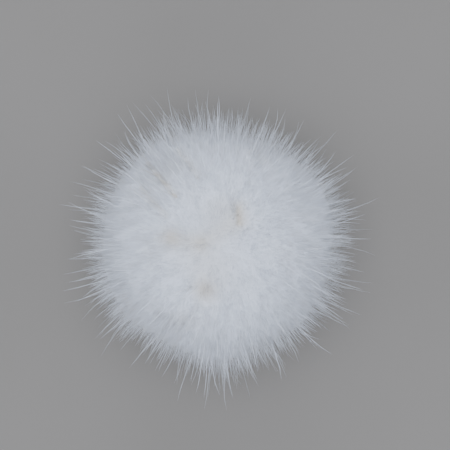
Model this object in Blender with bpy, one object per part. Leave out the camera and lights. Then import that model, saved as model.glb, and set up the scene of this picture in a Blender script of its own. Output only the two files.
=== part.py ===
"""Fur pom pom: a round ball of dense, soft fur with longer guard hairs, resting on its underside.

One solid holds the whole ball, because nothing but fur shows: the round patch of pelt is gathered
shut underneath, where the fur hides the join. The solid's surface is a field of pointed locks of
hair. The grooves between them lie where the dense underfur ends, and their tips lie where the main
guard hairs end. Lengths are metres and +Z is up. The ball rests on z = 0, with the origin under the
middle of its outline.
"""

import math
import random
from typing import NamedTuple

import bmesh
import bpy
from mathutils import Vector

# The ball as a whole
TIP_RADIUS = 0.0298  # from the ball's centre to the ends of the main guard hairs
UNDERFUR_RADIUS = 0.0242  # from the ball's centre to the grooves between the locks
HEIGHT_RATIO = 0.90  # a gathered ball of pelt is a little lower than it is wide
CENTRE_HEIGHT = 0.0235  # of the ball's centre over the surface that it rests on
FLAT_SPOT_RADIUS = 0.0090  # of the fur pressed flat under the ball's weight

# The locks of hair
LOCKS_PER_SIDE = 10  # along each side of an icosahedron's faces, which makes 1,002 locks in all
LOCK_SPREAD = 0.0011  # the most by which a lock is longer or shorter than its neighbours
LOCK_STRAY = 0.0004  # the most by which a tip strays from its even place, each way
LOCK_SWEEP = 0.0018  # how far a tip leans away from the crown, halfway round the ball
LOCK_DROOP = 0.0010  # how far a tip hangs, at the height of the ball's centre
RANDOM_SEED = 7

# The crown is the spot that the hair leans away from, a little off the top of the ball
CROWN_AZIMUTH_DEG = 60.0
CROWN_ELEVATION_DEG = 69.0

SHARP_EDGE_DEG = 75.0  # only the rim of the flat spot and the deepest grooves stay sharp

# White fur, as it looks in daylight
FUR_COLOUR = (0.72, 0.745, 0.79, 1.0)
FUR_ROUGHNESS = 0.9


class Swell(NamedTuple):
    """A place where the fur stands fuller, or thinner, than the even ball."""

    azimuth_deg: float
    elevation_deg: float
    reach_deg: float
    rise: float


SWELLS = (
    Swell(azimuth_deg=268.0, elevation_deg=4.0, reach_deg=17.0, rise=0.0016),
    Swell(azimuth_deg=28.0, elevation_deg=0.0, reach_deg=16.0, rise=0.0010),
    Swell(azimuth_deg=118.0, elevation_deg=8.0, reach_deg=20.0, rise=0.0008),
    Swell(azimuth_deg=207.0, elevation_deg=-6.0, reach_deg=18.0, rise=0.0010),
    Swell(azimuth_deg=346.0, elevation_deg=6.0, reach_deg=14.0, rise=0.0007),
    Swell(azimuth_deg=62.0, elevation_deg=2.0, reach_deg=22.0, rise=-0.0006),
    Swell(azimuth_deg=236.0, elevation_deg=0.0, reach_deg=12.0, rise=-0.0007),
    Swell(azimuth_deg=306.0, elevation_deg=3.0, reach_deg=16.0, rise=-0.0006),
    Swell(azimuth_deg=CROWN_AZIMUTH_DEG, elevation_deg=CROWN_ELEVATION_DEG, reach_deg=11.0, rise=-0.0016),
)


def direction(azimuth_deg, elevation_deg):
    """The unit vector at this turn from +X about Z, and this angle over the horizontal."""
    azimuth = math.radians(azimuth_deg)
    elevation = math.radians(elevation_deg)
    level = math.cos(elevation)
    return Vector((level * math.cos(azimuth), level * math.sin(azimuth), math.sin(elevation)))


def swell_rise(outwards):
    """How much further out than the even ball the fur reaches in this direction."""
    rise = 0.0
    for swell in SWELLS:
        away_deg = math.degrees(outwards.angle(direction(swell.azimuth_deg, swell.elevation_deg)))
        rise += swell.rise * math.exp(-((away_deg / swell.reach_deg) ** 2))
    return rise


def sideways(pull, outwards):
    """The part of a pull that runs along the ball's surface, so that it fades where the two line up."""
    return pull - outwards * pull.dot(outwards)


def fur_point(outwards, reach):
    """The point of the free fur in this direction, with the ball's centre as its origin."""
    point = outwards * (reach + swell_rise(outwards))
    point.z *= HEIGHT_RATIO
    return point


def tip_point(outwards, longer):
    """The free end of a lock that grows in this direction, swept off the crown and hanging a little."""
    crown = direction(CROWN_AZIMUTH_DEG, CROWN_ELEVATION_DEG)
    lean = sideways(-crown, outwards) * LOCK_SWEEP
    hang = sideways(Vector((0.0, 0.0, -1.0)), outwards) * LOCK_DROOP
    return fur_point(outwards, TIP_RADIUS + longer) + lean + hang


def stand_on_surface(point):
    """Moves a point from the ball's centre to its height, pressed back along its ray if it would sink in.

    The rays that meet the surface inside the flat spot end on it, tips and grooves alike.
    """
    if point.z < 0.0:
        to_surface = CENTRE_HEIGHT / -point.z
        spot = math.hypot(point.x, point.y) * to_surface
        if to_surface < 1.0 or spot < FLAT_SPOT_RADIUS:
            return Vector((point.x * to_surface, point.y * to_surface, 0.0))
    return Vector((point.x, point.y, point.z + CENTRE_HEIGHT))


def centre_over_origin(ball):
    """Slides the ball so that the middle of its outline from above lies on the Z axis."""
    xs = [corner.co.x for corner in ball.verts]
    ys = [corner.co.y for corner in ball.verts]
    middle = Vector(((min(xs) + max(xs)) / 2.0, (min(ys) + max(ys)) / 2.0, 0.0))
    bmesh.ops.translate(ball, vec=-middle, verts=ball.verts)


def build_locks():
    """The ball's mesh: an icosahedron's faces are divided, and each corner is drawn out into a lock."""
    ball = bmesh.new()
    bmesh.ops.create_icosphere(ball, subdivisions=1, radius=1.0)
    bmesh.ops.subdivide_edges(ball, edges=ball.edges[:], cuts=LOCKS_PER_SIDE - 1, use_grid_fill=True)
    tips = list(ball.verts)
    ridges = list(ball.edges)
    grooves = bmesh.ops.poke(ball, faces=ball.faces[:])["verts"]
    # Each edge between two tips turns to join two grooves, which leaves six sides on every lock.
    bmesh.ops.rotate_edges(ball, edges=ridges, use_ccw=False)

    chance = random.Random(RANDOM_SEED)
    for groove in grooves:
        groove.co = stand_on_surface(fur_point(groove.co.normalized(), UNDERFUR_RADIUS))
    for tip in tips:
        longer = chance.uniform(-LOCK_SPREAD, LOCK_SPREAD)
        stray = Vector([chance.uniform(-LOCK_STRAY, LOCK_STRAY) for _ in range(3)])
        tip.co = stand_on_surface(tip_point(tip.co.normalized(), longer) + stray)

    centre_over_origin(ball)
    bmesh.ops.recalc_face_normals(ball, faces=ball.faces)
    return ball


def fur_material():
    """Soft white fur: no shine of its own and no metal."""
    material = bpy.data.materials.new("white_fur")
    material.use_nodes = True
    shader = material.node_tree.nodes["Principled BSDF"]
    shader.inputs["Base Color"].default_value = FUR_COLOUR
    shader.inputs["Roughness"].default_value = FUR_ROUGHNESS
    shader.inputs["Metallic"].default_value = 0.0
    return material


def build_fur_ball():
    """Makes the one piece of the pom pom and puts it in the scene."""
    locks = build_locks()
    mesh = bpy.data.meshes.new("fur_ball")
    locks.to_mesh(mesh)
    locks.free()
    mesh.shade_smooth()
    mesh.set_sharp_from_angle(angle=math.radians(SHARP_EDGE_DEG))
    mesh.materials.append(fur_material())
    bpy.context.scene.collection.objects.link(bpy.data.objects.new("fur_ball", mesh))


def main():
    """Clears the scene and builds the pom pom."""
    for leftover in list(bpy.data.objects):
        bpy.data.objects.remove(leftover, do_unlink=True)
    build_fur_ball()


if __name__ == "__main__":
    main()
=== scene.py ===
"""Looks of the fur pom pom: a ball of white pelt with its felt, underfur, wool and guard hairs.

Everything is placed from the part's own box, in metres with +Z up. The fur is worked out on a round
ball about the origin, and one last step flattens that ball a little, lifts it to its height and presses
its lowest hairs against the floor.
"""

import logging
import math
from dataclasses import dataclass, field, replace
from enum import Enum

import bmesh
import bpy
import numpy as np
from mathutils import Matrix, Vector
from mathutils.kdtree import KDTree

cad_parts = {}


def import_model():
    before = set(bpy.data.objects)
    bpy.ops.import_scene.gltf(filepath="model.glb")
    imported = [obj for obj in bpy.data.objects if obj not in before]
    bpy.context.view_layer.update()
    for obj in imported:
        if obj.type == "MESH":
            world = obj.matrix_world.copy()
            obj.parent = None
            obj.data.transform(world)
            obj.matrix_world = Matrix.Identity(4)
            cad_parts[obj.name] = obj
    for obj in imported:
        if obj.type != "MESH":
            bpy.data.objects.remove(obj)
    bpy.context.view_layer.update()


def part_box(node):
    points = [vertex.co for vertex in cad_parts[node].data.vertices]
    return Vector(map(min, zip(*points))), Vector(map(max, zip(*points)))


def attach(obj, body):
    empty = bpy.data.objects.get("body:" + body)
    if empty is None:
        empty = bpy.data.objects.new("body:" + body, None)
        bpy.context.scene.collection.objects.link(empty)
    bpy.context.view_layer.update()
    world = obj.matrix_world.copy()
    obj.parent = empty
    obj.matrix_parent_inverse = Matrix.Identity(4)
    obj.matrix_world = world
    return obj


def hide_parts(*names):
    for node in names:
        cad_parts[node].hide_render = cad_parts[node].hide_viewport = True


LOG = logging.getLogger("pom_pom")
MM = 0.001
NODE = "fur_ball"
BODY = "root"
HAIR_MAP = "OFBake"
CREAM_AND_SHADE_SHARE = "cream_and_shade_share"
UP = np.array([0.0, 0.0, 1.0])
COOL_WHITE = "#E3ECFA"
# Cream tone of undyed fur, made darker than the white so that in dimples and grooves it also paints their
# shade.
CREAM_AND_PAINTED_SHADE = "#D2CCC0"
GOLDEN_TURN = math.pi * (3.0 - math.sqrt(5.0))
TINY = 1e-12
Array = np.ndarray


# --- Directions ---


def unit(vectors: Array) -> Array:
    """Scales each vector to length one.

    Args:
        vectors: An array whose last axis holds X, Y and Z.

    Returns:
        An array of the same shape.
    """
    return vectors / np.maximum(np.linalg.norm(vectors, axis=-1, keepdims=True), TINY)


def towards(azimuth_deg: float, elevation_deg: float) -> Array:
    """Gives the unit vector at a turn from +X about Z and an angle over the horizontal.

    Args:
        azimuth_deg: The turn from +X, in degrees.
        elevation_deg: The angle over the horizontal, in degrees.

    Returns:
        The vector as three numbers.
    """
    azimuth, elevation = math.radians(azimuth_deg), math.radians(elevation_deg)
    level = math.cos(elevation)
    return np.array([level * math.cos(azimuth), level * math.sin(azimuth), math.sin(elevation)])


def sideways(pull: Array, outwards: Array) -> Array:
    """Keeps the part of a pull that runs along the ball's surface.

    Args:
        pull: One vector, or one for each direction.
        outwards: The unit directions, a row for each.

    Returns:
        The pull at each direction, with nothing left of it along that direction.
    """
    pull = np.broadcast_to(pull, outwards.shape)
    return pull - outwards * (pull * outwards).sum(1, keepdims=True)


def angle_between(outwards: Array, axis: Array) -> Array:
    """Gives the angle of each direction from an axis, in degrees."""
    return np.degrees(np.arccos(np.clip(outwards @ axis, -1.0, 1.0)))


def spread_over_ball(count: int, stray: float, chance: np.random.Generator) -> Array:
    """Spreads directions evenly over the whole ball, each strayed a little from its even place.

    Args:
        count: How many directions.
        stray: How far each strays, as a share of the distance between neighbours.
        chance: The source of random numbers.

    Returns:
        The unit directions, a row for each.
    """
    step = np.arange(count) + 0.5
    height = 1.0 - 2.0 * step / count
    turn = step * GOLDEN_TURN
    level = np.sqrt(1.0 - height**2)
    even = np.stack([level * np.cos(turn), level * np.sin(turn), height], 1)
    spacing = math.sqrt(4.0 * math.pi / count)
    return unit(even + chance.normal(0.0, stray * spacing, even.shape))


# --- The ball's form, the lie of its fur and its patches of cream ---


@dataclass(frozen=True)
class Spot:
    """A round place on the ball: where it is, how far it reaches and how strong it is."""

    azimuth_deg: float
    elevation_deg: float
    reach_deg: float
    strength: float

    @property
    def axis(self) -> Array:
        """Gives the unit direction of its middle."""
        return towards(self.azimuth_deg, self.elevation_deg)

    def at(self, outwards: Array) -> Array:
        """Gives its strength at each direction, most in the middle and fading past its reach."""
        return self.strength * np.exp(-((angle_between(outwards, self.axis) / self.reach_deg) ** 2))


@dataclass(frozen=True)
class Parting:
    """A shallow groove that the hairs on both of its sides lean away from.

    Its start and its end are each an azimuth and an elevation, in degrees. The fur along it is painted
    creamier and darker: partly cream tone, partly painted shade of the groove.
    """

    start: tuple[float, float]
    end: tuple[float, float]
    reach_deg: float
    depth: float
    push: float
    cream_and_painted_shade: float

    def nearest(self, outwards: Array) -> Array:
        """Finds the point of the groove that is nearest to each direction.

        Args:
            outwards: The unit directions, a row for each.

        Returns:
            The unit direction of each nearest point.
        """
        start, end = towards(*self.start), towards(*self.end)
        along = (end - start) / np.dot(end - start, end - start)
        share = np.clip((outwards - start) @ along, 0.0, 1.0)[:, None]
        return unit(start + (end - start) * share)

    def share(self, outwards: Array) -> Array:
        """Gives how much of the groove is felt at each direction, one along its middle."""
        away = np.linalg.norm(outwards - self.nearest(outwards), axis=1) / math.radians(self.reach_deg)
        return np.exp(-(away**2))

    def at(self, outwards: Array) -> Array:
        """Gives how far the fur sinks at each direction, as a rise under zero."""
        return -self.depth * self.share(outwards)


@dataclass(frozen=True)
class BallForm:
    """The ball that the fur grows on, sized from the box of the part's solid.

    Attributes:
        low: The box's lowest corner.
        high: The box's highest corner.
        height_ratio: How high the ball is for its width.
        centre_share: How far up the box its centre is.
        body_share: The dense body's radius as a share of the longest guard hairs' reach.
        body_rise: How much of the swells and hollows the dense body follows.
        floor_gap: How far the lowest hairs stay over the floor.
        crush: The height over which hairs bend as they meet the floor.
        splay: How far they slide outwards as they bend, for each unit that they would sink.
        slope_step: The small step, in radians, that slopes are measured over.
        swells: Where it is fuller or leaner than an even ball.
        partings: Its grooves.
    """

    low: Vector
    high: Vector
    height_ratio: float = 0.90
    centre_share: float = 0.417
    body_share: float = 0.709
    body_rise: float = 0.5
    floor_gap: float = 0.05 * MM
    crush: float = 1.1 * MM
    splay: float = 0.5
    slope_step: float = 1e-3
    swells: tuple[Spot, ...] = (
        Spot(azimuth_deg=268.0, elevation_deg=4.0, reach_deg=17.0, strength=1.6 * MM),
        Spot(azimuth_deg=20.0, elevation_deg=0.0, reach_deg=20.0, strength=2.1 * MM),
        Spot(azimuth_deg=125.0, elevation_deg=8.0, reach_deg=21.0, strength=1.1 * MM),
        Spot(azimuth_deg=207.0, elevation_deg=-6.0, reach_deg=18.0, strength=1.0 * MM),
        Spot(azimuth_deg=333.0, elevation_deg=3.0, reach_deg=13.0, strength=0.1 * MM),
        Spot(azimuth_deg=75.0, elevation_deg=4.0, reach_deg=18.0, strength=-1.1 * MM),
        Spot(azimuth_deg=246.0, elevation_deg=0.0, reach_deg=16.0, strength=-1.8 * MM),
        Spot(azimuth_deg=299.0, elevation_deg=3.0, reach_deg=12.0, strength=-1.6 * MM),
        Spot(azimuth_deg=318.0, elevation_deg=2.0, reach_deg=9.0, strength=1.0 * MM),
        Spot(azimuth_deg=160.0, elevation_deg=4.0, reach_deg=20.0, strength=0.5 * MM),
        Spot(azimuth_deg=50.0, elevation_deg=72.0, reach_deg=12.0, strength=-0.6 * MM),
        Spot(azimuth_deg=236.0, elevation_deg=50.0, reach_deg=11.0, strength=2.1 * MM),
        Spot(azimuth_deg=124.0, elevation_deg=51.0, reach_deg=12.0, strength=1.6 * MM),
        Spot(azimuth_deg=256.0, elevation_deg=65.0, reach_deg=4.0, strength=-1.0 * MM),
    )
    partings: tuple[Parting, ...] = (
        # The last number of each is how far its fur is painted creamier and darker, partly as painted shade.
        Parting(start=(60.0, 67.0), end=(43.0, 73.2), reach_deg=2.3, depth=3.0 * MM, push=0.09, cream_and_painted_shade=0.65),
        Parting(start=(50.0, 78.0), end=(174.0, 81.7), reach_deg=4.5, depth=0.9 * MM, push=0.03, cream_and_painted_shade=0.25),
        Parting(start=(174.0, 81.7), end=(171.0, 65.4), reach_deg=4.5, depth=0.8 * MM, push=0.03, cream_and_painted_shade=0.30),
        Parting(start=(131.0, 20.0), end=(130.0, 58.0), reach_deg=1.1, depth=1.1 * MM, push=0.08, cream_and_painted_shade=0.80),
        Parting(start=(143.0, 34.0), end=(150.0, 60.0), reach_deg=1.3, depth=0.5 * MM, push=0.06, cream_and_painted_shade=0.40),
        Parting(start=(113.0, 26.0), end=(105.0, 54.0), reach_deg=1.3, depth=0.5 * MM, push=0.06, cream_and_painted_shade=0.40),
        Parting(start=(70.0, 38.0), end=(61.0, 53.0), reach_deg=1.6, depth=0.6 * MM, push=0.10, cream_and_painted_shade=0.10),
        Parting(start=(4.0, 65.0), end=(355.0, 42.0), reach_deg=1.5, depth=0.4 * MM, push=0.08, cream_and_painted_shade=0.00),
    )

    @property
    def reach(self) -> float:
        """Gives the radius to the ends of the longest guard hairs."""
        return (self.high.x - self.low.x + self.high.y - self.low.y) / 4.0

    @property
    def body(self) -> float:
        """Gives the radius at which the dense underfur ends."""
        return self.reach * self.body_share

    @property
    def centre(self) -> Array:
        """Gives the ball's centre over the floor."""
        height = self.low.z + (self.high.z - self.low.z) * self.centre_share
        return np.array([(self.low.x + self.high.x) / 2.0, (self.low.y + self.high.y) / 2.0, height])

    def rise(self, outwards: Array) -> Array:
        """Works out how much further out than the even ball the longest fur reaches."""
        return sum(place.at(outwards) for place in (*self.swells, *self.partings))

    def facing(self, outwards: Array) -> Array:
        """Works out where the coat's surface faces, with its swells and hollows.

        Args:
            outwards: The unit directions, a row for each.

        Returns:
            The unit direction that the flattened surface faces at each.
        """
        slope = np.zeros_like(outwards)
        here = self.rise(outwards)
        for axis in np.eye(3):
            along = sideways(axis, outwards)
            beside = self.rise(unit(outwards + along * self.slope_step))
            slope += along * ((beside - here) / self.slope_step)[:, None]
        tilted = outwards - slope / self.body
        return unit(tilted / np.array([1.0, 1.0, self.height_ratio]))

    def settle(self, points: Array) -> Array:
        """Turns points of the round ball about the origin into points of the ball as it rests.

        A point that would sink into the floor lies on it instead, and slides outwards as it does.

        Args:
            points: An array whose last axis holds X, Y and Z.

        Returns:
            The settled points, in an array of the same shape.
        """
        settled = points * np.array([1.0, 1.0, self.height_ratio])
        height = settled[..., 2] + self.centre[2] - self.low.z - self.floor_gap
        lying = self.crush * np.logaddexp(0.0, height / self.crush)
        out = unit(settled * (1.0 - UP))
        settled = settled + out * (self.splay * (lying - height))[..., None]
        settled[..., 2] = self.low.z + self.floor_gap + lying
        settled[..., :2] += self.centre[:2]
        return settled


@dataclass(frozen=True)
class HairLie:
    """How the hairs lean: off the crown, down the sides, and off a few dimples and partings.

    Attributes:
        partings: The grooves that hairs lean away from.
        crown: Where the hairs part on top, and how strongly they lean off it.
        droop: How far they lean down under their own weight.
        wander: How far the lean changes from place to place.
        wander_paces: How quickly it changes, in waves for each radian, one number for each set of waves.
        dimples: Round hollows that hairs lean away from.
        seed: What the random waves start from.
    """

    partings: tuple[Parting, ...]
    crown: Spot = Spot(azimuth_deg=60.0, elevation_deg=69.0, reach_deg=60.0, strength=0.12)
    droop: float = 0.08
    wander: float = 0.05
    wander_paces: tuple[float, ...] = (3.0, 5.0, 9.0, 14.0)
    dimples: tuple[Spot, ...] = (
        Spot(azimuth_deg=256.0, elevation_deg=65.0, reach_deg=6.0, strength=0.08),
    )
    seed: int = 11

    def lean(self, outwards: Array) -> Array:
        """Works out how hairs lean, as a sideways run for each unit of outward run.

        Args:
            outwards: The unit directions that the hairs grow in, a row for each.

        Returns:
            The lean at each direction, along the ball's surface.
        """
        lean = sideways(-self.crown.axis * self.crown.strength - UP * self.droop, outwards)
        for dimple in self.dimples:
            lean = lean + self._off(outwards, dimple.axis, dimple.reach_deg, dimple.strength)
        for parting in self.partings:
            lean = lean + self._off(outwards, parting.nearest(outwards), parting.reach_deg, parting.push)
        return lean + sideways(self._wander(outwards), outwards)

    def _off(self, outwards: Array, place: Array, reach_deg: float, push: float) -> Array:
        """Leans hairs away from a place, or from one place for each hair.

        Args:
            outwards: The unit directions of the hairs.
            place: The unit direction of the place.
            reach_deg: Where the lean is most, in degrees from the place.
            push: How strong it is there.

        Returns:
            The lean, nothing at the place itself and fading past its reach.
        """
        away = sideways(-place, outwards)
        share = np.linalg.norm(away, axis=1, keepdims=True) / math.sin(math.radians(reach_deg))
        felt = share * np.exp((1.0 - share**2) / 2.0)
        near_side = (np.broadcast_to(place, outwards.shape) * outwards).sum(1, keepdims=True) > 0.0
        return unit(away) * push * felt * near_side

    def _wander(self, outwards: Array) -> Array:
        """Gives slow, smooth changes of lean from place to place, from a few crossed waves.

        Args:
            outwards: The unit directions of the hairs.

        Returns:
            A vector for each hair.
        """
        chance = np.random.default_rng(self.seed)
        total = np.zeros_like(outwards)
        for pace in self.wander_paces:
            wave = unit(chance.normal(size=(3, 3))) * pace
            phase = chance.uniform(0.0, 2.0 * math.pi, 3)
            total += np.sin(outwards @ wave.T + phase) / math.sqrt(pace / self.wander_paces[0])
        return total * self.wander


@dataclass(frozen=True)
class Combing:
    """Faint ridges and furrows that run the way the hairs lie, as brushing leaves them.

    They are about a millimetre across and several long, and deeper on one side of the crown.
    """

    crown: Spot
    width_deg: float = 2.4
    run_deg: float = 15.0
    samples: int = 11
    lattice: int = 64
    deeper: Spot = Spot(azimuth_deg=125.0, elevation_deg=40.0, reach_deg=38.0, strength=0.6)
    seed: int = 51

    def at(self, outwards: Array) -> Array:
        """Works out how far each direction is up a ridge or down a furrow.

        Args:
            outwards: The unit directions, a row for each.

        Returns:
            A number for each, about one on a ridge and minus one in a furrow, or more where deeper.
        """
        grid = np.random.default_rng(self.seed).normal(size=(self.lattice,) * 3)
        down = unit(sideways(-self.crown.axis, outwards))
        total = np.zeros(len(outwards))
        for turn in np.radians(np.linspace(-self.run_deg, self.run_deg, self.samples)):
            place = outwards * math.cos(turn) + down * math.sin(turn)
            total += self._between(grid, place / math.radians(self.width_deg))
        return total / total.std() * (1.0 + self.deeper.at(outwards))

    def _between(self, grid: Array, places: Array) -> Array:
        """Reads smooth values between the points of a grid of random ones, which repeats for ever.

        Args:
            grid: The random values.
            places: Where to read, in steps of the grid.

        Returns:
            The value at each place.
        """
        low = np.floor(places).astype(int)
        share = places - low
        eased = share * share * (3.0 - 2.0 * share)
        value = np.zeros(len(places))
        for corner in np.ndindex(2, 2, 2):
            part = np.prod(np.where(corner, eased, 1.0 - eased), axis=1)
            value += part * grid[tuple(((low + corner) % self.lattice).T)]
        return value


@dataclass(frozen=True)
class CreamAndPaintedShade:
    """Where the white fur turns creamy: patches on the crown, and a scatter of faint ones all round.

    Its cream is partly the fur's own tone and partly painted shade: the patches in the dimples and the
    streaks along the grooves are made darker than the fur around, as the shade of their hollows. A patch
    of negative strength keeps the cream of its neighbours out, so its fur is whiter; the one on the lower
    left swell is a painted highlight.
    """

    streaks: tuple[Parting, ...]
    patches: tuple[Spot, ...] = (
        Spot(azimuth_deg=246.0, elevation_deg=79.0, reach_deg=17.0, strength=0.27),
        # A painted highlight: the lit side of the lower left swell is kept whiter than the fur around it.
        Spot(azimuth_deg=236.0, elevation_deg=60.0, reach_deg=8.0, strength=-0.25),
        # Cream in two dimples and at the end of a groove, also painted shade of these hollows.
        Spot(azimuth_deg=54.0, elevation_deg=71.0, reach_deg=8.0, strength=0.20),
        Spot(azimuth_deg=255.0, elevation_deg=66.0, reach_deg=6.0, strength=0.65),
        Spot(azimuth_deg=171.0, elevation_deg=67.0, reach_deg=5.0, strength=0.40),
        Spot(azimuth_deg=128.0, elevation_deg=44.0, reach_deg=16.0, strength=0.12),
    )
    faint_count: int = 24
    faint_stray: float = 0.3
    faint_reach_deg: float = 9.0
    faint_strength: float = 0.3
    seed: int = 31

    def at(self, outwards: Array) -> Array:
        """Works out how creamy the fur is, with the painted shade of its dimples and grooves and the painted
        highlight on one swell.

        Args:
            outwards: The unit directions of the hairs.

        Returns:
            A share for each, from 0 for white to 1 for the deepest cream.
        """
        chance = np.random.default_rng(self.seed)
        total = sum(patch.at(outwards) for patch in self.patches)
        # Cream along the grooves, partly tone and partly painted shade of the groove.
        total = total + sum(streak.cream_and_painted_shade * streak.share(outwards) for streak in self.streaks)
        for axis in spread_over_ball(self.faint_count, self.faint_stray, chance):
            away = angle_between(outwards, axis) / self.faint_reach_deg
            total = total + self.faint_strength * chance.uniform() * np.exp(-(away**2))
        return np.clip(total, 0.0, 1.0)


# --- Meshes ---


@dataclass(frozen=True)
class HairShape:
    """One hair as a slim closed spike: its sides, and how thick it is at some shares of its length."""

    sides: int
    rings: tuple[tuple[float, float], ...]

    @property
    def stops(self) -> Array:
        """Gives the shares of its length that it has corners at, from root to tip."""
        return np.array([share for share, _ in self.rings] + [1.0])

    def template(self) -> tuple[Array, list[list[int]]]:
        """Builds the spike along +Z, one unit long and one unit in radius, from a filled circle.

        Returns:
            Its corners, and its faces as lists of corner numbers.
        """
        hair = bmesh.new()
        bmesh.ops.create_circle(hair, cap_ends=True, segments=self.sides, radius=1.0)
        end = hair.faces[:]
        for below, stop in zip(self.stops, self.stops[1:]):
            # Its edges go in with the face, or the face stays behind as a wall inside the hair.
            grown = bmesh.ops.extrude_face_region(hair, geom=[*end, *end[0].edges])["geom"]
            end = [part for part in grown if isinstance(part, bmesh.types.BMFace)]
            corners = [part for part in grown if isinstance(part, bmesh.types.BMVert)]
            bmesh.ops.translate(hair, vec=(0.0, 0.0, stop - below), verts=corners)
        bmesh.ops.pointmerge(hair, verts=corners, merge_co=(0.0, 0.0, 1.0))
        bmesh.ops.recalc_face_normals(hair, faces=hair.faces)
        hair.verts.index_update()
        places = np.array([tuple(corner.co) for corner in hair.verts])
        faces = [[corner.index for corner in face.verts] for face in hair.faces]
        hair.free()
        return places, faces

    def width(self, share: Array) -> Array:
        """Gives how thick the hair is at shares of its length, nothing at its tip."""
        return np.interp(share, self.stops, [thick for _, thick in self.rings] + [0.0])


def mesh_from_arrays(name: str, corners: Array, faces: list[Array]) -> bpy.types.Mesh:
    """Makes one mesh of many joined copies.

    Args:
        name: The mesh's name.
        corners: The corners, a row of X, Y and Z for each.
        faces: Arrays of corner numbers, one array for each number of sides.

    Returns:
        The mesh, shaded smooth.
    """
    mesh = bpy.data.meshes.new(name)
    mesh.vertices.add(len(corners))
    mesh.vertices.foreach_set("co", corners.astype(np.float32).ravel())
    sides = np.concatenate([np.full(len(group), group.shape[1]) for group in faces])
    rim = np.concatenate([group.ravel() for group in faces])
    mesh.loops.add(len(rim))
    mesh.loops.foreach_set("vertex_index", rim.astype(np.int32))
    mesh.polygons.add(len(sides))
    mesh.polygons.foreach_set("loop_start", (np.cumsum(sides) - sides).astype(np.int32))
    mesh.update(calc_edges=True)
    mesh.shade_smooth()
    return mesh


def show(name: str, mesh: bpy.types.Mesh, material: bpy.types.Material) -> bpy.types.Object:
    """Puts a finished mesh in the scene in its material.

    Args:
        name: The object's name.
        mesh: The mesh, with its place in its corners.
        material: What it wears.

    Returns:
        The object, at the origin.
    """
    mesh.materials.append(material)
    piece = bpy.data.objects.new(name, mesh)
    bpy.context.scene.collection.objects.link(piece)
    return piece


# --- Finishes ---


def linear(colour: str) -> tuple[float, float, float, float]:
    """Turns an sRGB hex colour into linear light.

    Args:
        colour: Six hex digits, with or without a leading hash.

    Returns:
        Red, green, blue and an alpha of one.
    """
    digits = colour.lstrip("#")
    shares = [int(digits[at : at + 2], 16) / 255.0 for at in (0, 2, 4)]
    light = [s / 12.92 if s <= 0.04045 else ((s + 0.055) / 1.055) ** 2.4 for s in shares]
    return (light[0], light[1], light[2], 1.0)


def add_node(
    tree: bpy.types.NodeTree, kind: str, links: dict[str | int, object] | None = None, **settings: object
) -> bpy.types.Node:
    """Adds one node with its settings and what feeds it.

    Args:
        tree: The material's node tree.
        kind: The node's type name.
        links: For each input, by name or number, either the socket that feeds it or a plain value.
        settings: The node's own settings, by name.

    Returns:
        The node.
    """
    node = tree.nodes.new(kind)
    for name, value in settings.items():
        setattr(node, name, value)
    for place, value in (links or {}).items():
        if isinstance(value, bpy.types.NodeSocket):
            tree.links.new(value, node.inputs[place])
        else:
            node.inputs[place].default_value = value
    return node


@dataclass(frozen=True)
class Finish:
    """What a piece is made of: each kind adds its own shader."""

    name: str

    def material(self) -> bpy.types.Material:
        """Makes the material.

        Returns:
            The material, with its shader on its surface.
        """
        material = bpy.data.materials.new(self.name)
        material.use_nodes = True
        tree = material.node_tree
        tree.nodes.clear()
        add_node(tree, "ShaderNodeOutputMaterial", {"Surface": self._shader(tree).outputs["BSDF"]})
        return material

    def _shader(self, tree: bpy.types.NodeTree) -> bpy.types.Node:
        """Adds this kind's own shader and what feeds it.

        Args:
            tree: The material's node tree, empty so far.

        Returns:
            The shader.
        """
        raise NotImplementedError


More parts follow.
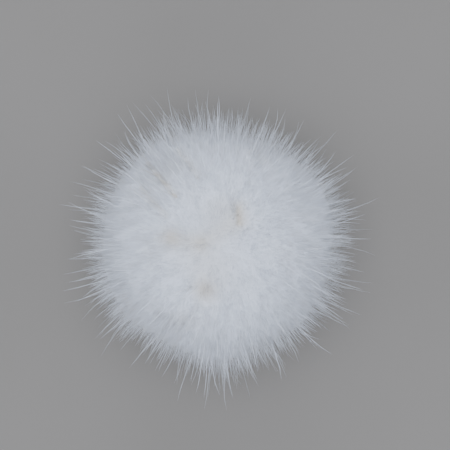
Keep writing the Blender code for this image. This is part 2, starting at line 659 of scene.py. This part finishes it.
@dataclass(frozen=True)
class HairFinish(Finish):
    """Undyed white fur hair, combed and not glazed.

    Keratin without pigment scatters light inside the hair, so the coat looks bright and milky with
    hardly any dark between hairs. Each hair is rougher near its root, and its colour is painted darker
    there, painted shade for the depth of the coat. Some are creamy instead of cool white; in the dimples
    and grooves that cream is also painted shade.
    """

    cream: str = CREAM_AND_PAINTED_SHADE
    white: str = COOL_WHITE
    bright: str = "#E8F0FE"
    white_tone: float = 0.85
    root_painted_shade: float = 0.90
    painted_shade_share: float = 0.6
    root_roughness: float = 0.75
    tip_roughness: float = 0.50
    sheen: float = 0.20
    sheen_roughness: float = 0.5
    milkiness: float = 0.2
    milk_depth: float = 0.6 * MM
    keratin_ior: float = 1.55

    def _shader(self, tree: bpy.types.NodeTree) -> bpy.types.Node:
        """Adds a shader that reads the hair's own map: its tone across, its length up.

        Args:
            tree: The material's node tree.

        Returns:
            The shader.
        """
        along = add_node(tree, "ShaderNodeUVMap", uv_map=HAIR_MAP)
        parts = add_node(tree, "ShaderNodeSeparateXYZ", {0: along.outputs["UV"]})
        # The cream end of this ramp is partly cream tone and partly painted shade of dimples and grooves.
        tone = add_node(tree, "ShaderNodeValToRGB", {"Fac": parts.outputs["X"]})
        tone.color_ramp.elements[0].color = linear(self.cream)
        tone.color_ramp.elements[1].color = linear(self.bright)
        tone.color_ramp.elements.new(self.white_tone).color = linear(self.white)
        # Painted shade: the colour darkens towards the root, where the coat is deep and shaded.
        shade = add_node(
            tree,
            "ShaderNodeMapRange",
            {"Value": parts.outputs["Y"], "From Max": self.painted_shade_share, "To Min": self.root_painted_shade},
        )
        colour = add_node(
            tree,
            "ShaderNodeVectorMath",
            {0: tone.outputs["Color"], "Scale": shade.outputs["Result"]},
            operation="SCALE",
        )
        roughness = add_node(
            tree,
            "ShaderNodeMapRange",
            {"Value": parts.outputs["Y"], "To Min": self.root_roughness, "To Max": self.tip_roughness},
        )
        return add_node(
            tree,
            "ShaderNodeBsdfPrincipled",
            {
                "Base Color": colour.outputs["Vector"],
                "Roughness": roughness.outputs["Result"],
                "IOR": self.keratin_ior,
                "Sheen Weight": self.sheen,
                "Sheen Roughness": self.sheen_roughness,
                "Subsurface Weight": self.milkiness,
                "Subsurface Radius": (1.0, 1.0, 1.0),
                "Subsurface Scale": self.milk_depth,
            },
        )


@dataclass(frozen=True)
class CardFinish(Finish):
    """Uncoated pale grey card, rolled and not glazed.

    Its pulp lies in clouds a few centimetres across, which keep it from looking like plastic. The grain
    of real card is about 0.1 mm, and it is drawn at 0.8 mm so that it shows at all.
    """

    name: str = "uncoated_grey_card"
    light: str = "#7A7875"
    dark: str = "#75736F"
    clouds: float = 40.0 * MM
    grain: float = 0.8 * MM
    grain_depth: float = 0.02 * MM
    roughness: float = 0.9

    def _shader(self, tree: bpy.types.NodeTree) -> bpy.types.Node:
        """Adds a shader on Object coordinates.

        Args:
            tree: The material's node tree.

        Returns:
            The shader.
        """
        place = add_node(tree, "ShaderNodeTexCoord").outputs["Object"]
        clouds = add_node(tree, "ShaderNodeTexNoise", {"Vector": place, "Scale": 1.0 / self.clouds})
        colour = add_node(
            tree,
            "ShaderNodeMix",
            {"Factor": clouds.outputs["Fac"], "A": linear(self.dark), "B": linear(self.light)},
            data_type="RGBA",
        )
        grain = add_node(tree, "ShaderNodeTexNoise", {"Vector": place, "Scale": 1.0 / self.grain})
        bump = add_node(
            tree, "ShaderNodeBump", {"Height": grain.outputs["Fac"], "Distance": self.grain_depth}
        )
        return add_node(
            tree,
            "ShaderNodeBsdfPrincipled",
            {
                "Base Color": colour.outputs["Result"],
                "Roughness": self.roughness,
                "Normal": bump.outputs["Normal"],
            },
        )


@dataclass(frozen=True)
class FeltFinish(Finish):
    """Matted white underfur, undyed, seen only between the hairs.

    Its fine wool scatters light every way, so it is quite matt. It is creamy where the hairs over it
    are, and painted darker with them in the dimples and grooves, as painted shade, with a faint mottle
    the size of a tuft. Its bump is the nap of the wool, whose fibres of about 0.02 mm are drawn at
    0.3 mm so that they show at all.
    """

    name: str = "matted_underfur"
    white: str = COOL_WHITE
    cream: str = CREAM_AND_PAINTED_SHADE
    mottled: str = "#DDE3EA"
    mottle: float = 3.0 * MM
    mottle_share: float = 0.3
    nap: float = 0.3 * MM
    nap_depth: float = 0.1 * MM
    roughness: float = 0.9

    def _shader(self, tree: bpy.types.NodeTree) -> bpy.types.Node:
        """Adds a shader on Object coordinates and on the felt's own share of cream.

        Args:
            tree: The material's node tree.

        Returns:
            The shader.
        """
        place = add_node(tree, "ShaderNodeTexCoord").outputs["Object"]
        mottle = add_node(tree, "ShaderNodeTexNoise", {"Vector": place, "Scale": 1.0 / self.mottle})
        share = add_node(
            tree, "ShaderNodeMapRange", {"Value": mottle.outputs["Fac"], "To Max": self.mottle_share}
        )
        ground = add_node(
            tree,
            "ShaderNodeMix",
            {"Factor": share.outputs["Result"], "A": linear(self.white), "B": linear(self.mottled)},
            data_type="RGBA",
        )
        # Cream tone, and the painted shade of dimples and grooves.
        cream = add_node(tree, "ShaderNodeAttribute", attribute_name=CREAM_AND_SHADE_SHARE)
        colour = add_node(
            tree,
            "ShaderNodeMix",
            {"Factor": cream.outputs["Fac"], "A": ground.outputs["Result"], "B": linear(self.cream)},
            data_type="RGBA",
        )
        nap = add_node(tree, "ShaderNodeTexNoise", {"Vector": place, "Scale": 1.0 / self.nap})
        bump = add_node(tree, "ShaderNodeBump", {"Height": nap.outputs["Fac"], "Distance": self.nap_depth})
        return add_node(
            tree,
            "ShaderNodeBsdfPrincipled",
            {
                "Base Color": colour.outputs["Result"],
                "Roughness": self.roughness,
                "Normal": bump.outputs["Normal"],
            },
        )


# --- The fur ---


@dataclass
class Tufts:
    """Spots that neighbouring hairs draw together at, each with its own lean and its own length."""

    count: int
    stray: float
    lean_stray: float
    seed: int
    outwards: Array = field(init=False)
    lean: Array = field(init=False)
    longer: Array = field(init=False)
    tree: KDTree = field(init=False)

    def __post_init__(self) -> None:
        """Spreads the tufts over the ball."""
        chance = np.random.default_rng(self.seed)
        self.outwards = spread_over_ball(self.count, self.stray, chance)
        self.lean = sideways(chance.normal(0.0, self.lean_stray, (self.count, 3)), self.outwards)
        self.longer = chance.normal(size=self.count)
        self.tree = KDTree(self.count)
        for number, place in enumerate(self.outwards):
            self.tree.insert(place, number)
        self.tree.balance()

    def nearest(self, outwards: Array) -> Array:
        """Finds the number of the tuft that each hair belongs to."""
        return np.array([self.tree.find(place)[1] for place in outwards])


class Coat(Enum):
    """The kinds of hair, from the skin outwards."""

    UNDERFUR = "underfur"
    WOOL = "wool"
    GUARD = "guard_hairs"
    STRAY = "stray_hairs"


@dataclass(frozen=True, kw_only=True)
class HairCut:
    """How one kind of hair grows, in how many pieces, and its finish.

    Real underfur and wool are about 0.02 mm thick. Each hair here stands for several of them, so it is
    drawn thicker, and so are the guard hairs, a little.

    Attributes:
        kind: Which hair it is.
        finish: What it is made of.
        shape: The spike that each hair is a copy of.
        pieces: How many objects its hairs are shared among.
        per_piece: How many hairs each of those holds.
        root: The height of its roots over the surface of the dense body, under zero for inside it.
        reach: The height of its tips over that surface.
        reach_spread: How uneven its length is.
        thickness: Its width where it is thickest.
        swell: How much of the ball's swells and hollows its tips follow.
        lean_stray: How far each hair leans its own way.
        bow: How far each bends aside midway, as a share of its length.
        tuft_pull: How far its tips draw together in tufts.
        lock_pull: How far the tufts draw together in locks.
        combed: How much longer it is on the ridges that brushing leaves.
        seed: What its random numbers start from.
    """

    kind: Coat
    finish: HairFinish
    shape: HairShape
    pieces: int = 1
    per_piece: int
    root: float
    reach: float
    reach_spread: float
    thickness: float
    swell: float
    lean_stray: float
    bow: float = 0.0
    tuft_pull: float
    lock_pull: float
    combed: float = 0.0
    seed: int


@dataclass
class Fur:
    """The whole coat of hair on the ball.

    Attributes:
        form: The ball that it grows on.
        lie: How it leans.
        combing: The ridges that brushing leaves in it.
        cream: Where it is creamy, with the painted shade of its dimples and grooves.
        cuts: Its kinds of hair.
        tufts: The small bunches that its hairs draw together in.
        locks: The larger bunches that the tufts draw together in.
        even_spread: How far roots stray from an even spread, as a share of their distance.
        straightness: How soon hairs take their lean, from 0 for towards the tip to 1 for at the root.
        gather_power: How soon hairs draw together, most at the root for 0 and evenly along for 1.
        tuft_share: How much of a hair's length its tuft decides, in spreads.
        lock_share: The same for its lock.
        own_share: The same for the hair itself.
        least_length: The shortest that a hair may be.
        thickness_spread: How uneven the hairs' thickness is, as a share.
        tone_spread: How uneven their tone is, as a share of the way to cream.
        softness: How far their shading follows the coat's surface and not each hair's own.
        map_margin: The map's empty edge.
        map_width: How wide one hair is in the map.
        map_turn: How far each hair is turned in the map, in radians.
        tuft_lock: The number of each tuft's lock.
    """

    form: BallForm
    lie: HairLie
    combing: Combing
    cream: CreamAndPaintedShade
    cuts: tuple[HairCut, ...]
    tufts: Tufts
    locks: Tufts
    even_spread: float = 0.4
    straightness: float = 0.5
    gather_power: float = 0.7
    tuft_share: float = 1.5
    lock_share: float = 0.9
    own_share: float = 0.35
    least_length: float = 0.5 * MM
    thickness_spread: float = 0.2
    tone_spread: float = 0.10
    softness: float = 0.95
    map_margin: float = 0.02
    map_width: float = 0.008
    map_turn: float = 0.35
    tuft_lock: Array = field(init=False)

    def __post_init__(self) -> None:
        """Gives each tuft its lock."""
        self.tuft_lock = self.locks.nearest(self.tufts.outwards)

    def build(self) -> list[bpy.types.Object]:
        """Grows every kind of hair.

        Returns:
            Its pieces, from the skin outwards.
        """
        pieces = []
        for cut in self.cuts:
            material = cut.finish.material()
            for number in range(cut.pieces):
                name = cut.kind.value if cut.pieces == 1 else f"{cut.kind.value}_{number + 1}"
                pieces.append(show(name, self._grow(cut, number, name), material))
        return pieces

    def _grow(self, cut: HairCut, number: int, name: str) -> bpy.types.Mesh:
        """Grows one piece of hair.

        Args:
            cut: The kind of hair.
            number: Which of its pieces this is.
            name: The mesh's name.

        Returns:
            The mesh, with its map.
        """
        chance = np.random.default_rng(cut.seed + number)
        every = spread_over_ball(cut.per_piece * cut.pieces, self.even_spread, chance)
        outwards = every[number :: cut.pieces]
        places, faces = cut.shape.template()
        line = self.form.settle(self._lines(cut, outwards, chance))
        corners = self._flesh(cut, line, places, chance)
        step = np.arange(len(outwards))[:, None, None] * len(places)
        groups = []
        for sides in sorted({len(face) for face in faces}):
            group = np.array([face for face in faces if len(face) == sides])
            groups.append((group[None] + step).reshape(-1, sides))
        mesh = mesh_from_arrays(name, corners.reshape(-1, 3), groups)
        self._map(mesh, places, outwards, chance)
        self._soften(mesh, self.form.facing(outwards))
        return mesh

    def _lines(self, cut: HairCut, outwards: Array, chance: np.random.Generator) -> Array:
        """Follows hairs from root to tip, each drawn towards its tuft and its lock.

        Args:
            cut: The kind of hair.
            outwards: The unit directions that the hairs grow in.
            chance: The source of random numbers.

        Returns:
            The points on the round ball, as hair by stop by X, Y and Z.
        """
        count = len(outwards)
        tuft = self.tufts.nearest(outwards)
        lock = self.tuft_lock[tuft]
        shared = self.tufts.longer[tuft] * self.tuft_share + self.locks.longer[lock] * self.lock_share
        longer = chance.normal(0.0, self.own_share, count) + shared * cut.tuft_pull
        combed = self.combing.at(outwards) * cut.combed
        length = cut.reach - cut.root + cut.reach_spread * longer + combed
        length = np.maximum(length, self.least_length)

        stray = sideways(chance.normal(0.0, cut.lean_stray, (count, 3)), outwards)
        line = self._line(cut, outwards, stray, length)
        tuft_line = self._line(cut, self.tufts.outwards[tuft], self.tufts.lean[tuft], length)
        lock_line = self._line(cut, self.locks.outwards[lock], self.locks.lean[lock], length)
        stops = cut.shape.stops
        gather = (stops**self.gather_power)[:, None]
        tuft_line = tuft_line + (lock_line - tuft_line) * gather * cut.lock_pull
        line = line + (tuft_line - line) * gather * cut.tuft_pull
        bow = sideways(chance.normal(0.0, cut.bow, (count, 3)), outwards) * length[:, None]
        # An arch that is nothing at root and tip, and one midway.
        arch = 4.0 * stops * (1.0 - stops)
        return line + bow[:, None] * arch[:, None]

    def _line(self, cut: HairCut, outwards: Array, stray: Array, length: Array) -> Array:
        """Follows hairs that keep to themselves.

        Args:
            cut: The kind of hair.
            outwards: The unit directions that the hairs grow in.
            stray: What each adds to the coat's own lean.
            length: The length of each.

        Returns:
            The points on the round ball, as hair by stop by X, Y and Z.
        """
        stops = cut.shape.stops
        lean = self.lie.lean(outwards) + stray
        rise = self.form.rise(outwards)
        run = (length + rise * (cut.swell - self.form.body_rise))[:, None] * stops
        run = run / np.sqrt(1.0 + (lean**2).sum(1, keepdims=True))
        radius = (self.form.body + cut.root + rise * self.form.body_rise)[:, None] + run
        bent = run * (self.straightness + (1.0 - self.straightness) * stops)
        return outwards[:, None] * radius[..., None] + lean[:, None] * bent[..., None]

    def _flesh(self, cut: HairCut, line: Array, places: Array, chance: np.random.Generator) -> Array:
        """Gives hairs their thickness.

        Args:
            cut: The kind of hair.
            line: The points that the hairs follow.
            places: The corners of the spike that each is a copy of.
            chance: The source of random numbers.

        Returns:
            The corners, as hair by corner by X, Y and Z, none of them under the floor.
        """
        count = len(line)
        run = unit(np.gradient(line, axis=1))
        across = unit(np.cross(run, unit(chance.normal(size=(count, 1, 3)))))
        over = np.cross(run, across)
        thick = cut.thickness / 2.0 * np.exp(chance.normal(0.0, self.thickness_spread, (count, 1)))
        wide = (thick * cut.shape.width(places[:, 2]))[..., None]
        stop = np.abs(places[:, 2:] - cut.shape.stops).argmin(1)
        corners = line[:, stop] + wide * (
            across[:, stop] * places[:, 0, None] + over[:, stop] * places[:, 1, None]
        )
        corners[..., 2] = np.maximum(corners[..., 2], self.form.low.z)
        return corners

    def _map(
        self, mesh: bpy.types.Mesh, places: Array, outwards: Array, chance: np.random.Generator
    ) -> None:
        """Gives the hairs a map: up it runs the hair's length, and its place across is its tone.

        Each corner stands a little to one side of its hair's tone, so that no face has zero width.

        Args:
            mesh: The mesh of hairs.
            places: The corners of the spike that each hair is a copy of.
            outwards: The unit directions of the hairs.
            chance: The source of random numbers.
        """
        room = 1.0 - 2.0 * self.map_margin
        # A hair's tone falls with its cream, which in dimples and grooves is painted shade as well.
        tone = 1.0 - self.cream.at(outwards) - np.abs(chance.normal(0.0, self.tone_spread, len(outwards)))
        turn = np.arctan2(places[:, 1], places[:, 0]) + self.map_turn
        wide = np.where(places[:, 2] < 1.0, self.map_width / 2.0 * np.cos(turn), 0.0)
        across = self.map_margin + room * np.clip(tone, 0.0, 1.0)[:, None] + wide
        along = np.broadcast_to(self.map_margin + room * places[:, 2], across.shape)
        spots = np.stack([across, along], -1).reshape(-1, 2)
        rim = np.empty(len(mesh.loops), np.int32)
        mesh.loops.foreach_get("vertex_index", rim)
        layer = mesh.uv_layers.new(name=HAIR_MAP)
        layer.uv.foreach_set("vector", spots[rim].astype(np.float32).ravel())

    def _soften(self, mesh: bpy.types.Mesh, facing: Array) -> None:
        """Turns the hairs' shading towards that of the coat's surface, as light scattered in fur does.

        Args:
            mesh: The mesh of hairs.
            facing: Where the coat's surface faces at each hair, a row for each hair.
        """
        own = np.empty(len(mesh.vertices) * 3, np.float32)
        mesh.vertices.foreach_get("normal", own)
        own = own.reshape(len(facing), -1, 3)
        mixed = unit(facing[:, None] * self.softness + own * (1.0 - self.softness))
        mesh.normals_split_custom_set_from_vertices(mixed.reshape(-1, 3))


@dataclass
class Felt:
    """The matted roots of the underfur over the pelt, which close the gaps between the hairs."""

    form: BallForm
    cream: CreamAndPaintedShade
    finish: FeltFinish
    name: str = "underfur_felt"
    depth: float = 0.5 * MM
    level: int = 6

    def build(self) -> bpy.types.Object:
        """Shapes the ball from an icosphere.

        Returns:
            The felt.
        """
        ball = bmesh.new()
        bmesh.ops.create_icosphere(ball, subdivisions=self.level, radius=1.0)
        outwards = unit(np.array([tuple(corner.co) for corner in ball.verts]))
        radius = self.form.body - self.depth + self.form.rise(outwards) * self.form.body_rise
        places = self.form.settle(outwards * radius[:, None])
        for corner, place in zip(ball.verts, places):
            corner.co = place
        mesh = bpy.data.meshes.new(self.name)
        ball.to_mesh(mesh)
        ball.free()
        mesh.shade_smooth()
        # Its cream share carries the painted shade of dimples and grooves along with the cream tone.
        tone = mesh.attributes.new(CREAM_AND_SHADE_SHARE, "FLOAT", "POINT")
        tone.data.foreach_set("value", self.cream.at(outwards).astype(np.float32))
        return show(self.name, mesh, self.finish.material())


# --- The studio ---


@dataclass(frozen=True)
class Softbox:
    """One square light that faces the ball, with its distance and size in metres and its power in watts."""

    name: str
    azimuth_deg: float
    power: float
    elevation_deg: float = 22.0
    distance: float = 1.00
    size: float = 0.70


@dataclass
class Studio:
    """A pale floor, soft light and a camera that looks straight down.

    Attributes:
        form: The ball.
        card: What the floor is made of.
        lens: The camera's focal length, in millimetres.
        frame_width: How wide the view is at the height of the ball's centre.
        aim: The point on the floor under the camera.
        floor_radius: How far the floor reaches.
        floor_sides: How many sides it has.
        floor_gap: How far it lies under the part's lowest point.
        clip_start: How near the camera sees.
        light_colour: The colour of the softboxes.
        room_colour: The colour of the light that fills the room.
        room_strength: How strong that is.
        boxes: The softboxes.
    """

    form: BallForm
    card: CardFinish = CardFinish()
    lens: float = 120.0
    frame_width: float = 87.8 * MM
    aim: tuple[float, float] = (1.5 * MM, 3.65 * MM)
    floor_radius: float = 0.7
    floor_sides: int = 96
    floor_gap: float = 0.02 * MM
    clip_start: float = 0.01
    light_colour: str = "#F3F6FF"
    room_colour: str = "#D3D7DD"
    room_strength: float = 0.58
    boxes: tuple[Softbox, ...] = (
        Softbox("top", azimuth_deg=180.0, power=16.1, elevation_deg=88.5, distance=1.20, size=1.00),
        Softbox("left", azimuth_deg=180.0, power=3.8),
        Softbox("right", azimuth_deg=0.0, power=3.4),
        Softbox("front", azimuth_deg=270.0, power=3.8),
        Softbox("back", azimuth_deg=90.0, power=4.6),
    )

    def build(self) -> None:
        """Sets up the floor, the light and the camera."""
        self._floor()
        for box in self.boxes:
            self._light(box)
        self._world()
        self._camera()

    def _floor(self) -> None:
        """Lays the floor, a sheet of pale grey card."""
        sheet = bmesh.new()
        bmesh.ops.create_circle(sheet, cap_ends=True, segments=self.floor_sides, radius=self.floor_radius)
        bmesh.ops.translate(sheet, vec=(0.0, 0.0, self.form.low.z - self.floor_gap), verts=sheet.verts)
        mesh = bpy.data.meshes.new("floor")
        sheet.to_mesh(mesh)
        sheet.free()
        show("floor", mesh, self.card.material())

    def _light(self, box: Softbox) -> None:
        """Hangs one softbox that faces the ball.

        Args:
            box: Its place, size and power.
        """
        lamp = bpy.data.lights.new(box.name, "AREA")
        lamp.shape = "SQUARE"
        lamp.size = box.size
        lamp.energy = box.power
        lamp.color = linear(self.light_colour)[:3]
        place = towards(box.azimuth_deg, box.elevation_deg)
        holder = bpy.data.objects.new(box.name, lamp)
        holder.location = Vector(self.form.centre + place * box.distance)
        holder.rotation_euler = Vector(place).to_track_quat("Z", "Y").to_euler()
        bpy.context.scene.collection.objects.link(holder)

    def _world(self) -> None:
        """Fills the room with even, pale light."""
        world = bpy.data.worlds.new("room")
        world.use_nodes = True
        background = world.node_tree.nodes["Background"]
        background.inputs["Color"].default_value = linear(self.room_colour)
        background.inputs["Strength"].default_value = self.room_strength
        bpy.context.scene.world = world

    def _camera(self) -> None:
        """Hangs the camera over the ball, with +Y up in its picture."""
        camera = bpy.data.cameras.new("camera")
        camera.lens = self.lens
        camera.clip_start = self.clip_start
        distance = self.frame_width / camera.sensor_width * self.lens
        holder = bpy.data.objects.new("camera", camera)
        holder.location = (self.aim[0], self.aim[1], self.form.centre[2] + distance)
        bpy.context.scene.collection.objects.link(holder)
        bpy.context.scene.camera = holder


# --- Making it all ---

SPIKE = HairShape(sides=3, rings=((0.0, 1.0),))
LONG = HairShape(sides=3, rings=((0.0, 0.8), (0.45, 1.0), (0.8, 0.7)))
# Guard and stray hairs are painted darker than the underfur: painted shade that evens them with the shaded
# underfur, since they stand clear of it and catch more light.
GUARD_HAIR_PAINTED_SHADE = HairFinish("undyed_guard_hair_painted_shade", cream="#BEBBB4", white="#D1DBEB", bright="#D6E0F0")
GUARD_CUT = HairCut(
    kind=Coat.GUARD,
    finish=GUARD_HAIR_PAINTED_SHADE,
    shape=LONG,
    per_piece=7500,
    root=-3.0 * MM,
    reach=3.3 * MM,
    reach_spread=1.7 * MM,
    thickness=0.07 * MM,
    swell=1.0,
    lean_stray=0.20,
    bow=0.03,
    tuft_pull=0.4,
    lock_pull=0.2,
    seed=301,
)
CUTS = (
    HairCut(
        kind=Coat.UNDERFUR,
        finish=HairFinish("undyed_underfur"),
        shape=SPIKE,
        pieces=4,
        per_piece=45000,
        root=-1.4 * MM,
        reach=0.1 * MM,
        reach_spread=0.30 * MM,
        thickness=0.11 * MM,
        swell=0.5,
        lean_stray=0.10,
        tuft_pull=0.05,
        lock_pull=0.1,
        combed=0.12 * MM,
        seed=101,
    ),
    HairCut(
        kind=Coat.WOOL,
        finish=HairFinish(
            "undyed_wool_hair", cream="#C8C3B8", white="#DDE6F4", bright="#E2EAF8", milkiness=0.75
        ),
        shape=SPIKE,
        per_piece=24000,
        root=-2.0 * MM,
        reach=1.27 * MM,
        reach_spread=0.8 * MM,
        thickness=0.075 * MM,
        swell=0.8,
        lean_stray=0.20,
        tuft_pull=0.35,
        lock_pull=0.2,
        combed=0.14 * MM,
        seed=201,
    ),
    GUARD_CUT,
    replace(
        GUARD_CUT,
        kind=Coat.STRAY,
        finish=replace(GUARD_HAIR_PAINTED_SHADE, name="undyed_stray_hair_painted_shade"),
        per_piece=400,
        reach=7.8 * MM,
        reach_spread=1.8 * MM,
        thickness=0.11 * MM,
        swell=1.4,
        lean_stray=0.16,
        bow=0.04,
        lock_pull=0.1,
        seed=403,
    ),
)


def main() -> None:
    """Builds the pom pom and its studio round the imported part."""
    logging.basicConfig(level=logging.INFO, format="%(name)s: %(message)s")
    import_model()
    form = BallForm(*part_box(NODE))
    cream = CreamAndPaintedShade(form.partings)
    felt = Felt(form, cream, FeltFinish()).build()
    tufts = Tufts(count=2600, stray=0.35, lean_stray=0.12, seed=21)
    locks = Tufts(count=700, stray=0.30, lean_stray=0.12, seed=22)
    lie = HairLie(form.partings)
    hairs = Fur(form, lie, Combing(lie.crown), cream, CUTS, tufts, locks).build()
    for piece in [felt, *hairs]:
        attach(piece, BODY)
        LOG.info("%s: %d faces", piece.name, len(piece.data.polygons))
    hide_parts(NODE)
    Studio(form).build()


if __name__ == "__main__":
    main()
